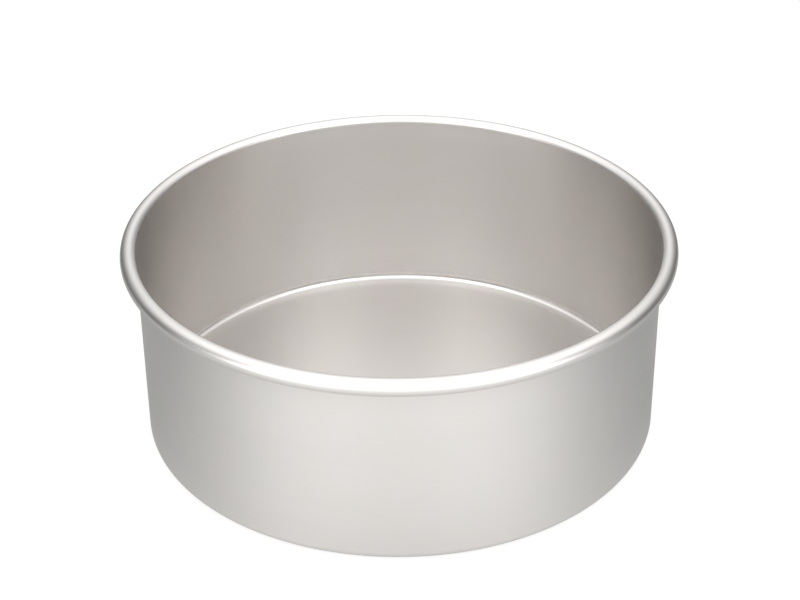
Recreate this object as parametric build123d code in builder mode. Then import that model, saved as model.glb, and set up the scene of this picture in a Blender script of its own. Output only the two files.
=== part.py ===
from build123d import *
import os
from math import acos, cos, degrees, radians, sin

# Round cake tin, in millimetres. One sheet of aluminium is drawn into a straight-sided cup, and its
# free edge is rolled outwards and under into a hollow bead, so the floor, the wall and the rim are
# one piece of metal with no seam. The origin is the centre of the base's underside, and +Z is up.

# The cup
inside_diameter = 200.0
overall_height = 80.0
sheet = 1.0
floor_bend_radius = 2.4

# The rolled rim. The wall first leans out round an easy lead-in, then rolls over and under into the
# bead, whose cut edge stops just short of the wall. Both radii are on the bead's outer face
rim_lead_radius = 6.0
rim_lead_angle = 35.0
rim_roll_radius = 3.2
rim_tuck_gap = 0.4

# Where the roll is centred, and how far round it goes before its cut edge meets the gap
inside_radius = inside_diameter / 2
half_sheet = sheet / 2
roll_offset = rim_lead_radius - rim_roll_radius
roll_centre_radius = inside_radius + rim_lead_radius - roll_offset * cos(radians(rim_lead_angle))
rim_lead_start = overall_height - rim_roll_radius - roll_offset * sin(radians(rim_lead_angle))
tuck_reach = roll_centre_radius - inside_radius - sheet - rim_tuck_gap
tuck_angle = degrees(acos(tuck_reach / rim_roll_radius))
rim_roll_angle = 360 - rim_lead_angle - tuck_angle

with BuildPart() as tin:
    with BuildSketch(Plane.XZ) as sheet_section:
        with BuildLine() as middle_of_sheet:
            floor_line = Line((0, half_sheet), (inside_radius - floor_bend_radius, half_sheet))
            floor_bend = JernArc(floor_line @ 1, floor_line % 1, floor_bend_radius + half_sheet, 90)
            wall_line = Line(floor_bend @ 1, (inside_radius + half_sheet, rim_lead_start))
            rim_lead = JernArc(wall_line @ 1, wall_line % 1, rim_lead_radius - half_sheet, -rim_lead_angle)
            rim_roll = JernArc(rim_lead @ 1, rim_lead % 1, rim_roll_radius - half_sheet, -rim_roll_angle)
        trace(line_width=sheet)
    revolve(axis=Axis.Z)

tin.part.label = "tin"

os.makedirs("parts", exist_ok=True)
export_step(tin.part, "parts/tin.step")

tin_box = tin.part.bounding_box()
print(f"across the rim {tin_box.size.X:.2f} mm, height {tin_box.size.Z:.2f} mm")
print(f"roll centre radius {roll_centre_radius:.3f} mm, roll {rim_roll_angle:.1f} degrees")
print(f"volume {tin.part.volume / 1000:.2f} cm3")
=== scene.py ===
import math

import bpy
import numpy as np
from mathutils import Matrix


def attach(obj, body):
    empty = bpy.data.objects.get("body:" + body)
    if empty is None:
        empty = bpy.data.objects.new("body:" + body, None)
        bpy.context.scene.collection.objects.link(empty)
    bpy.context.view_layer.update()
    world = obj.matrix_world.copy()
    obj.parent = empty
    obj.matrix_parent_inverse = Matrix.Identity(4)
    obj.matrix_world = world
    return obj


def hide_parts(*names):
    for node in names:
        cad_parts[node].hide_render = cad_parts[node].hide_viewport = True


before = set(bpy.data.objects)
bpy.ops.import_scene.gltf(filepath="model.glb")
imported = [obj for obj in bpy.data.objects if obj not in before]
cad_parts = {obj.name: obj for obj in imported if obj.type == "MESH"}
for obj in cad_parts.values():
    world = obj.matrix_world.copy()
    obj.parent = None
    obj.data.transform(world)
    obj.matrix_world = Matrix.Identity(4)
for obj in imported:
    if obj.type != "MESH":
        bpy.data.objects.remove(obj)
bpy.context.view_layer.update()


# The cake tin
# One sheet of aluminium, drawn into a straight-sided cup with a small bend round its floor, turned
# out over a tight corner at the top and rolled under into a hollow bead. The mesh is both its faces.

MM = 0.001
sheet = 1.0 * MM
inside_radius = 100.0 * MM
floor_bend_radius = 2.4 * MM
wall_lean = 0.8 * MM
rim_corner_radius = 1.6 * MM
rim_crown_radius = 3.4 * MM
rim_roll_radius = 3.2 * MM
rim_outer_radius = 106.906 * MM
rim_tuck_gap = 0.4 * MM
rim_top = 80.0 * MM

floor_steps = 6
bend_steps = 16
wall_steps = 6
corner_steps = 14
crown_steps = 8
roll_steps = 44
turns = 480

bend_centre_r = inside_radius - floor_bend_radius
bend_centre_z = sheet + floor_bend_radius
roll_centre_r = rim_outer_radius - rim_roll_radius
roll_centre_z = rim_top - rim_roll_radius
crown_centre_z = rim_top - rim_crown_radius
corner_r = inside_radius + wall_lean + rim_corner_radius
corner_inset = roll_centre_r - corner_r
corner_rise = math.sqrt((rim_crown_radius - rim_corner_radius) ** 2 - corner_inset**2)
corner_z = crown_centre_z + corner_rise
corner_end = math.pi - math.atan2(corner_rise, corner_inset)
rim_underside_z = roll_centre_z - rim_roll_radius
tuck_reach = roll_centre_r - inside_radius - sheet - rim_tuck_gap
roll_end = math.acos(tuck_reach / rim_roll_radius) - math.pi


def arc(centre_r, centre_z, radius, start, end, steps):
    """Points (centre r + radius * cos a, centre z + radius * sin a), for angles a from start to end
    in even steps."""
    a = np.linspace(start, end, steps + 1)
    return np.column_stack([centre_r + radius * np.cos(a), centre_z + radius * np.sin(a)])


def straight(start, end, steps):
    """Points start + t * (end - start), for t from 0 to 1 in even steps."""
    t = np.linspace(0.0, 1.0, steps + 1)[:, None]
    return np.array(start) + t * (np.array(end) - np.array(start))


def end_to_end(stretches):
    """The stretches one after another, with the point that two neighbours share kept once."""
    return np.vstack([stretches[0]] + [stretch[1:] for stretch in stretches[1:]])


def sheet_face(depth, lean_z, upright_steps):
    """One face of the sheet from the middle of the floor to the cut edge, as (r, z) points, at a depth
    below the face that the food touches. Every radius that curves away from that face shrinks by the
    depth, and the bend round the floor, which curves the other way, grows by it. The wall stands
    upright as far as lean_z, in upright_steps, and leans out evenly from there to the rim's corner."""
    floor_z = sheet - depth
    wall_r = inside_radius + depth
    bend_radius = floor_bend_radius + depth
    corner_radius = rim_corner_radius - depth
    crown_radius = rim_crown_radius - depth
    roll_radius = rim_roll_radius - depth
    upwards = math.pi / 2.0
    floor = straight((0.0, floor_z), (bend_centre_r, floor_z), floor_steps)
    bend = arc(bend_centre_r, bend_centre_z, bend_radius, -upwards, 0.0, bend_steps)
    upright = straight((wall_r, bend_centre_z), (wall_r, lean_z), upright_steps)
    lean = straight((wall_r, lean_z), (wall_r + wall_lean, corner_z), wall_steps)
    corner = arc(corner_r, corner_z, corner_radius, math.pi, corner_end, corner_steps)
    crown = arc(roll_centre_r, crown_centre_z, crown_radius, corner_end, upwards, crown_steps)
    roll = arc(roll_centre_r, roll_centre_z, roll_radius, upwards, roll_end, roll_steps)
    return end_to_end([floor, bend, upright, lean, corner, crown, roll])


# The food side leans all the way up from the bend, so no part of it is upright. The outside leans
# only where the bead hides it, so the sheet thins to about a quarter just under the bead.
food_face = sheet_face(0.0, bend_centre_z, 0)
outside_face = sheet_face(sheet, rim_underside_z, wall_steps)
tin_profile = np.vstack([food_face, outside_face[::-1]])


def revolved(profile, count):
    """The surface (r cos a, r sin a, z) of a profile (r, z) that starts and ends on the axis, for
    count values of a round the circle. Returns its points, with the two poles last, and its faces."""
    a = np.arange(count) * (2.0 * math.pi / count)
    rings = profile[1:-1]
    ring_points = np.empty((len(rings), count, 3))
    ring_points[:, :, 0] = rings[:, :1] * np.cos(a)
    ring_points[:, :, 1] = rings[:, :1] * np.sin(a)
    ring_points[:, :, 2] = rings[:, 1:]
    poles = np.array([[0.0, 0.0, profile[0, 1]], [0.0, 0.0, profile[-1, 1]]])
    points = np.vstack([ring_points.reshape(-1, 3), poles])
    first_pole = len(points) - 2
    last_pole = len(points) - 1
    here = np.arange(count)
    after = (here + 1) % count
    row = np.arange(len(rings) - 1)[:, None] * count
    last_row = (len(rings) - 1) * count
    quads = np.stack([row + here, row + after, row + count + after, row + count + here], axis=-1)
    fan_in = np.column_stack([np.full(count, first_pole), after, here])
    fan_out = np.column_stack([last_row + here, last_row + after, np.full(count, last_pole)])
    faces = fan_in.tolist() + quads.reshape(-1, 4).tolist() + fan_out.tolist()
    return points, faces


def tin_mesh():
    """The closed surface of the sheet, with material 0 on both faces of the floor and 1 on the rest,
    and the attribute food_side, which is 1 on the face that the food touches and 0 on the other."""
    points, faces = revolved(tin_profile, turns)
    mesh = bpy.data.meshes.new("cake_tin")
    mesh.from_pydata(points.tolist(), [], faces)
    floor_faces = floor_steps * turns
    slots = np.ones(len(faces), dtype=np.int32)
    slots[:floor_faces] = 0
    slots[-floor_faces:] = 0
    mesh.polygons.foreach_set("material_index", slots)
    mesh.polygons.foreach_set("use_smooth", np.ones(len(faces), dtype=bool))
    food_rings = len(food_face) - 1
    food_pole = len(points) - 2
    side = np.zeros(len(points), dtype=np.float32)
    side[: food_rings * turns] = 1.0
    side[food_pole] = 1.0
    mesh.attributes.new("food_side", "FLOAT", "POINT").data.foreach_set("value", side)
    mesh.update()
    return mesh


# The finish is an even satin, etched and anodised with a faint warm tint. The wall and the rim were
# turned against a spinning tool, so their fine marks run round the tin and stretch the highlights
# across them. The rolling tool burnished the rim's top, and the punch the bend. The crease under the
# bead is painted darker, as painted shade.

satin_colour = (0.735, 0.712, 0.692)
burnished_colour = (0.85, 0.827, 0.808)
wall_roughness = 0.32
rim_roughness = 0.21
bend_roughness = 0.17
floor_roughness = 0.36
base_roughness = 0.42
turned_grain = 0.85
quarter_turn = 0.25
rim_polish_radii = (100.8 * MM, 101.2 * MM)
rim_polish_z = (75.6 * MM, 78.2 * MM)
bend_polish_start_z = (1.1 * MM, 1.55 * MM)
bend_polish_end_z = (2.4 * MM, 4.6 * MM)
# The crease's darker colour is painted shade, not a mark on the metal.
crease_painted_shade = 0.83
crease_radii = (100.85 * MM, 100.95 * MM)
crease_lower_z = (70.4 * MM, 71.8 * MM)
crease_upper_z = (73.8 * MM, 75.4 * MM)

noise_gain = 0.55
tint_per_metre = 48.0
tint_octaves = 2.0
tint_change = 0.030
mark_per_metre = 800.0
mark_drift_per_metre = 9.0
mark_octaves = 2.0
mark_shade = 0.030
mark_roughness = 0.035
mark_depth = 0.020 * MM
grain_per_metre = 2600.0
grain_octaves = 1.0
grain_roughness = 0.030
ripple_per_metre = 55.0
ripple_octaves = 1.0
ripple_depth = 0.12 * MM


def node(tree, kind, links=None, **values):
    """Adds a node of that kind, sets its properties or inputs by name, and links its inputs by name or
    by number."""
    made = tree.nodes.new(kind)
    for name, value in values.items():
        if hasattr(made, name):
            setattr(made, name, value)
        else:
            made.inputs[name.replace("_", " ")].default_value = value
    for name, source in (links or {}).items():
        tree.links.new(source, made.inputs[name])
    return made


def join(tree, terms, inputs):
    """Puts each term, a socket or a plain value, into its input."""
    for term, place in zip(terms, inputs):
        if isinstance(term, bpy.types.NodeSocket):
            tree.links.new(term, place)
        else:
            place.default_value = term


def sums(tree, operation, *terms):
    """One Math node: the operation on sockets or plain numbers, in order. Returns its output."""
    made = node(tree, "ShaderNodeMath", operation=operation)
    join(tree, terms, made.inputs)
    return made.outputs[0]


def vector_sums(tree, operation, *terms):
    """One Vector Math node: the operation on vectors, in order. Returns its first output."""
    made = node(tree, "ShaderNodeVectorMath", operation=operation)
    join(tree, terms, made.inputs)
    return made.outputs[0]


def product(tree, first, *others):
    """first times each of the others."""
    for other in others:
        first = sums(tree, "MULTIPLY", first, other)
    return first


def rest_of(tree, share):
    """1 - share."""
    return sums(tree, "SUBTRACT", 1.0, share)


def shaded(tree, colour, share):
    """colour * share, the same for its red, green and blue."""
    links = {0: colour, "Scale": share}
    return node(tree, "ShaderNodeVectorMath", links, operation="SCALE").outputs[0]


def eased(tree, value, start, end):
    """A smooth step of a value: 0 up to start, 1 from end on, and an S-shaped rise between them."""
    made = node(tree, "ShaderNodeMapRange", {"Value": value}, interpolation_type="SMOOTHSTEP")
    join(tree, (start, end), (made.inputs["From Min"], made.inputs["From Max"]))
    return made.outputs["Result"]


def between(tree, share, low, high):
    """low + share * (high - low), where low and high are sockets or plain numbers."""
    made = node(tree, "ShaderNodeMix", clamp_factor=True)
    join(tree, (share, low, high), (made.inputs[0], made.inputs[2], made.inputs[3]))
    return made.outputs[0]


def tint_between(tree, share, low, high):
    """low + share * (high - low) for two colours."""
    made = node(tree, "ShaderNodeMix", data_type="VECTOR", clamp_factor=True)
    join(tree, (share, low, high), (made.inputs[0], made.inputs[4], made.inputs[5]))
    return made.outputs[1]


def own_place(tree):
    """The Object coordinates of a point, as one vector."""
    return node(tree, "ShaderNodeTexCoord").outputs["Object"]


def along_axes(tree, vector):
    """The x, y and z of a vector, as outputs named X, Y and Z."""
    return node(tree, "ShaderNodeSeparateXYZ", {"Vector": vector}).outputs


def off_axis(tree, place):
    """The distance from Z: the square root of x squared plus y squared."""
    side_squared = sums(tree, "MULTIPLY", place["X"], place["X"])
    return sums(tree, "SQRT", sums(tree, "MULTIPLY_ADD", place["Y"], place["Y"], side_squared))


def food_side(tree):
    """1 on the face of the sheet that the food touches and 0 on the other, read from the mesh."""
    return node(tree, "ShaderNodeAttribute", attribute_name="food_side").outputs["Fac"]


def noise(tree, where, per_metre, octaves, **values):
    """Noise with that many features to a metre, each octave noise_gain as strong as the one before it.
    Returns its outputs, an even one and a coloured one."""
    values.update(Scale=per_metre, Detail=octaves, Roughness=noise_gain)
    return node(tree, "ShaderNodeTexNoise", {"Vector": where}, **values).outputs


def turned_marks(tree, where, place):
    """Fine marks that run round Z: noise in four dimensions, (x, y) stretched long, and z and the
    distance from Z both packed close, so that it changes quickly across a ring and slowly along it."""
    packing = (mark_drift_per_metre, mark_drift_per_metre, mark_per_metre)
    packed = vector_sums(tree, "MULTIPLY", where, packing)
    packed_radius = sums(tree, "MULTIPLY", off_axis(tree, place), mark_per_metre)
    marks = noise(tree, packed, 1.0, mark_octaves, noise_dimensions="4D")[0]
    tree.links.new(packed_radius, marks.node.inputs["W"])
    return marks


def satin_material(name, own_roughness, own_colour):
    """Satin metal. own_roughness and own_colour take the tree and the Object coordinates x, y and z,
    and return the finish's plain roughness and colour. Over them go a soft drift of the anodised
    tint, the turned marks and the grain of the etch, noises from 0 to 1 that are taken up and down
    from their middles, so that the plain finish stays the mean. The marks and a slight ripple of the
    sheet also stand up as a bump."""
    material = bpy.data.materials.new(name)
    material.use_nodes = True
    tree = material.node_tree
    shader = tree.nodes["Principled BSDF"]
    shader.inputs["Metallic"].default_value = 1.0
    where = own_place(tree)
    place = along_axes(tree, where)
    marks = turned_marks(tree, where, place)
    grain = noise(tree, where, grain_per_metre, grain_octaves)[0]
    ripple = noise(tree, where, ripple_per_metre, ripple_octaves)[0]
    drift = noise(tree, where, tint_per_metre, tint_octaves)[1]

    least_tint = 1.0 - tint_change / 2.0
    least_shade = 1.0 - mark_shade / 2.0
    tint = vector_sums(tree, "MULTIPLY_ADD", drift, (tint_change,) * 3, (least_tint,) * 3)
    tinted = vector_sums(tree, "MULTIPLY", tint, own_colour(tree, place))
    shade = sums(tree, "MULTIPLY_ADD", marks, mark_shade, least_shade)
    tree.links.new(shaded(tree, tinted, shade), shader.inputs["Base Color"])

    half_swing = (mark_roughness + grain_roughness) / 2.0
    marked = sums(tree, "MULTIPLY_ADD", marks, mark_roughness, own_roughness(tree, place))
    etched = sums(tree, "MULTIPLY_ADD", grain, grain_roughness, marked)
    centred = sums(tree, "SUBTRACT", etched, half_swing)
    tree.links.new(centred, shader.inputs["Roughness"])

    lines = node(tree, "ShaderNodeBump", {"Height": marks}, Distance=mark_depth)
    over_lines = {"Height": ripple, "Normal": lines.outputs[0]}
    waves = node(tree, "ShaderNodeBump", over_lines, Distance=ripple_depth)
    tree.links.new(waves.outputs[0], shader.inputs["Normal"])
    return material


def floor_material():
    """The pressed floor, even in every direction inside, and duller beneath, where the tin slides on
    shelves and racks."""

    def roughness(tree, place):
        return between(tree, food_side(tree), base_roughness, floor_roughness)

    def colour(tree, place):
        return satin_colour

    return satin_material("satin_floor", roughness, colour)


def rim_share(tree, place):
    """1 on the burnished rim, which is the part of the food side that stands out past the wall."""
    outside = eased(tree, off_axis(tree, place), *rim_polish_radii)
    above = eased(tree, place["Z"], *rim_polish_z)
    return product(tree, food_side(tree), outside, above)


def bend_share(tree, place):
    """1 on the burnished bend, which is the part of the food side between the floor and the wall."""
    started = eased(tree, place["Z"], *bend_polish_start_z)
    ended = eased(tree, place["Z"], *bend_polish_end_z)
    return product(tree, food_side(tree), started, rest_of(tree, ended))


def crease_painted_shade_share(tree, place):
    """1 in the crease, the corner outside between the wall and the bead, where the colour is painted
    darker as painted shade."""
    above = eased(tree, place["Z"], *crease_lower_z)
    past = eased(tree, place["Z"], *crease_upper_z)
    outside = eased(tree, off_axis(tree, place), *crease_radii)
    return product(tree, above, rest_of(tree, past), outside)


def wall_material():
    """The turned wall and rim, with the highlight stretched across marks that run round Z: at a point
    (x, y, z) they run along the tangent (-y, x, 0)."""

    def roughness(tree, place):
        bare = between(tree, rim_share(tree, place), wall_roughness, rim_roughness)
        return between(tree, bend_share(tree, place), bare, bend_roughness)

    def colour(tree, place):
        burnish = sums(tree, "ADD", rim_share(tree, place), bend_share(tree, place))
        clean = tint_between(tree, burnish, satin_colour, burnished_colour)
        # Painted shade darkens the crease under the bead.
        shade = between(tree, crease_painted_shade_share(tree, place), 1.0, crease_painted_shade)
        return shaded(tree, clean, shade)

    material = satin_material("satin_wall", roughness, colour)
    tree = material.node_tree
    shader = tree.nodes["Principled BSDF"]
    shader.inputs["Anisotropic"].default_value = turned_grain
    shader.inputs["Anisotropic Rotation"].default_value = quarter_turn
    place = along_axes(tree, own_place(tree))
    minus_y = sums(tree, "MULTIPLY", place["Y"], -1.0)
    round_z = node(tree, "ShaderNodeCombineXYZ", {"X": minus_y, "Y": place["X"]})
    tree.links.new(round_z.outputs[0], shader.inputs["Tangent"])
    return material


cake_tin = bpy.data.objects.new("cake_tin", tin_mesh())
bpy.context.scene.collection.objects.link(cake_tin)
cake_tin.data.materials.append(floor_material())
cake_tin.data.materials.append(wall_material())
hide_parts("tin")
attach(cake_tin, "root")


# The studio's light
# A broad white light overhead, dimmer in its middle, a soft lamp high and a larger fill light low to
# each side of the camera, pale walls in front and behind and a dark cloth from each side to the back.
# The camera sees plain white behind the tin.

white = 1.0
front_level = 1.24
cloth_level = 0.21
back_level = 0.76
cloth_azimuths = (math.radians(47.5), math.radians(79.0))
back_azimuths = (math.radians(136.0), math.radians(184.0))
overhead_level = 1.44
overhead_elevations = (math.radians(5.5), math.radians(67.0))
zenith_level = 1.15
zenith_elevations = (math.radians(60.0), math.radians(80.0))
lamp_level = 0.97
lamp_middle = (math.radians(34.0), math.radians(47.0))
lamp_half_size = (math.radians(30.0), math.radians(14.0))
fill_level = 1.20
fill_middle = (math.radians(50.0), 0.0)
fill_half_size = (math.radians(59.0), math.radians(35.0))


def front_azimuth(tree, place):
    """The angle round Z from the front, the same to both sides: atan2 of the size of x and minus y."""
    sideways = sums(tree, "ABSOLUTE", place["X"])
    forwards = sums(tree, "MULTIPLY", place["Y"], -1.0)
    return sums(tree, "ARCTAN2", sideways, forwards)


def light_share(tree, azimuth, elevation, middle, half_size):
    """1 at the middle of a soft light, easing to 0 at its edge, an ellipse: 1 minus a smooth step of the
    length of (azimuth from the middle / half width, elevation from the middle / half height)."""
    across = sums(tree, "DIVIDE", sums(tree, "SUBTRACT", azimuth, middle[0]), half_size[0])
    up = sums(tree, "DIVIDE", sums(tree, "SUBTRACT", elevation, middle[1]), half_size[1])
    squares = sums(tree, "MULTIPLY_ADD", up, up, sums(tree, "MULTIPLY", across, across))
    return rest_of(tree, eased(tree, sums(tree, "SQRT", squares), 0.0, 1.0))


def room_level(tree, azimuth, elevation):
    """How bright the room is in a direction, without the lamps. The front wall, the cloth and the back
    wall follow one another by smooth steps of the azimuth, and all of them give way to the light
    overhead, and that to its dimmer middle, by smooth steps of the elevation."""
    from_front = eased(tree, azimuth, *cloth_azimuths)
    to_back = eased(tree, azimuth, *back_azimuths)
    upwards = eased(tree, elevation, *overhead_elevations)
    to_zenith = eased(tree, elevation, *zenith_elevations)
    sides = between(tree, from_front, front_level, cloth_level)
    walls = between(tree, to_back, sides, back_level)
    overhead = between(tree, to_zenith, overhead_level, zenith_level)
    return between(tree, upwards, walls, overhead)


def studio_world():
    """The light by its direction, (x, y, z) of length 1, whose elevation is the arc sine of z."""
    world = bpy.data.worlds.new("studio")
    world.use_nodes = True
    tree = world.node_tree
    direction = along_axes(tree, node(tree, "ShaderNodeTexCoord").outputs["Generated"])
    azimuth = front_azimuth(tree, direction)
    elevation = sums(tree, "ARCSINE", direction["Z"])
    lamps = light_share(tree, azimuth, elevation, lamp_middle, lamp_half_size)
    fills = light_share(tree, azimuth, elevation, fill_middle, fill_half_size)
    room = room_level(tree, azimuth, elevation)
    lamp_lit = sums(tree, "MULTIPLY_ADD", lamps, lamp_level, room)
    all_lit = sums(tree, "MULTIPLY_ADD", fills, fill_level, lamp_lit)
    ray = node(tree, "ShaderNodeLightPath")
    seen = between(tree, ray.outputs["Is Camera Ray"], all_lit, white)
    background = tree.nodes["Background"]
    background.inputs["Color"].default_value = (white, white, white, 1.0)
    tree.links.new(seen, background.inputs["Strength"])
    return world


bpy.context.scene.world = studio_world()


# The paper that the tin stands on
# A wide sheet of white paper, a hair below the tin's base. To the metal's mirror rays it glows with a
# painted pool of light in front, painted dimmer and cooler beside and behind the tin, with painted
# shadow round the tin's foot, darkest where the tin touches it. The camera sees it as plain white,
# with a soft shadow where the tin stands.

paper_half_width = 6.0
paper_drop = 0.05 * MM
paper_front = 1.0
paper_front_far = 1.80
paper_rear = 0.49
paper_rear_far = 0.17
paper_azimuths = (math.radians(12.0), math.radians(104.0))
paper_far_radii = (350.0 * MM, 430.0 * MM)
# Painted shadow in the paper's mirrored glow, round the tin's foot and right where it touches.
painted_foot_shadow_share = 0.87
painted_foot_shadow_radii = (100.0 * MM, 160.0 * MM)
painted_contact_shadow_share = 0.35
painted_contact_shadow_radii = (98.0 * MM, 101.8 * MM)
paper_front_tint = (1.0, 0.998, 0.99)
paper_rear_tint = (0.975, 1.0, 0.995)
paper_glow = 0.75
paper_albedo = 0.30


def paper_level(tree, radius, rearward):
    """How bright the metal mirrors the paper: a painted pool of light and painted shadow. In front and
    at the rear it changes from near to far by a smooth step of the radius, the two are mixed by how far
    round a point lies, and round the tin's foot and under it two more steps paint shadow on it."""
    faraway = eased(tree, radius, *paper_far_radii)
    clear_of_foot = eased(tree, radius, *painted_foot_shadow_radii)
    clear_of_base = eased(tree, radius, *painted_contact_shadow_radii)
    front = between(tree, faraway, paper_front, paper_front_far)
    rear = between(tree, faraway, paper_rear, paper_rear_far)
    open_level = between(tree, rearward, front, rear)
    # These two steps are painted shadow in the mirrored glow, round and under the tin's foot.
    foot = between(tree, clear_of_foot, painted_foot_shadow_share, 1.0)
    contact = between(tree, clear_of_base, painted_contact_shadow_share, 1.0)
    return product(tree, open_level, foot, contact)


def paper_material():
    """White paper: to the metal's mirror rays a glow of painted light and painted shadow, and to all
    others a matt sheet with an even glow, which takes the tin's soft shadow."""
    paper = bpy.data.materials.new("white_paper")
    paper.use_nodes = True
    tree = paper.node_tree
    tree.nodes.clear()
    place = along_axes(tree, own_place(tree))
    rearward = eased(tree, front_azimuth(tree, place), *paper_azimuths)
    level = paper_level(tree, off_axis(tree, place), rearward)
    tint = tint_between(tree, rearward, paper_front_tint, paper_rear_tint)
    mirrored = node(tree, "ShaderNodeEmission", {"Color": tint, "Strength": level})
    glow = node(tree, "ShaderNodeEmission", Strength=paper_glow)
    matt = node(tree, "ShaderNodeBsdfDiffuse", Color=(paper_albedo, paper_albedo, paper_albedo, 1.0))
    plain = node(tree, "ShaderNodeAddShader", {0: glow.outputs[0], 1: matt.outputs[0]})
    ray = node(tree, "ShaderNodeLightPath")
    choice = {0: ray.outputs["Is Glossy Ray"], 1: plain.outputs[0], 2: mirrored.outputs[0]}
    seen = node(tree, "ShaderNodeMixShader", choice)
    node(tree, "ShaderNodeOutputMaterial", {"Surface": seen.outputs[0]})
    return paper


paper_corners = [(-1, -1), (1, -1), (1, 1), (-1, 1)]
paper_points = [(x * paper_half_width, y * paper_half_width, -paper_drop) for x, y in paper_corners]
paper_mesh = bpy.data.meshes.new("studio_paper")
paper_mesh.from_pydata(paper_points, [], [(0, 1, 2, 3)])
paper_mesh.materials.append(paper_material())
studio_paper = bpy.data.objects.new("studio_paper", paper_mesh)
bpy.context.scene.collection.objects.link(studio_paper)


# The camera
# It looks down at the tin from the front, as the photograph does, from where the fit of the tin's
# outline puts it. Its axes are to the right, up and backward, the first two turned by the roll.

view_distance = 730.1 * MM
view_elevation = math.radians(30.890)
view_side = 0.18 * MM
view_height = 49.06 * MM
view_roll = math.radians(-0.514)
lens_mm = 83.53
sensor_mm = 36.0
nearest_seen = 0.01
farthest_seen = 100.0

backward = np.array([0.0, -math.cos(view_elevation), math.sin(view_elevation)])
level_right = np.array([1.0, 0.0, 0.0])
level_up = np.cross(backward, level_right)
turned_right = math.cos(view_roll) * level_right + math.sin(view_roll) * level_up
turned_up = math.cos(view_roll) * level_up - math.sin(view_roll) * level_right
stand = np.array([view_side, 0.0, view_height]) + view_distance * backward
camera_matrix = np.eye(4)
camera_matrix[:3, 0] = turned_right
camera_matrix[:3, 1] = turned_up
camera_matrix[:3, 2] = backward
camera_matrix[:3, 3] = stand

camera_data = bpy.data.cameras.new("camera")
camera_data.lens = lens_mm
camera_data.sensor_width = sensor_mm
camera_data.clip_start = nearest_seen
camera_data.clip_end = farthest_seen
camera = bpy.data.objects.new("camera", camera_data)
bpy.context.scene.collection.objects.link(camera)
camera.matrix_world = Matrix(camera_matrix.tolist())
bpy.context.scene.camera = camera
bpy.context.scene.view_settings.view_transform = "Standard"
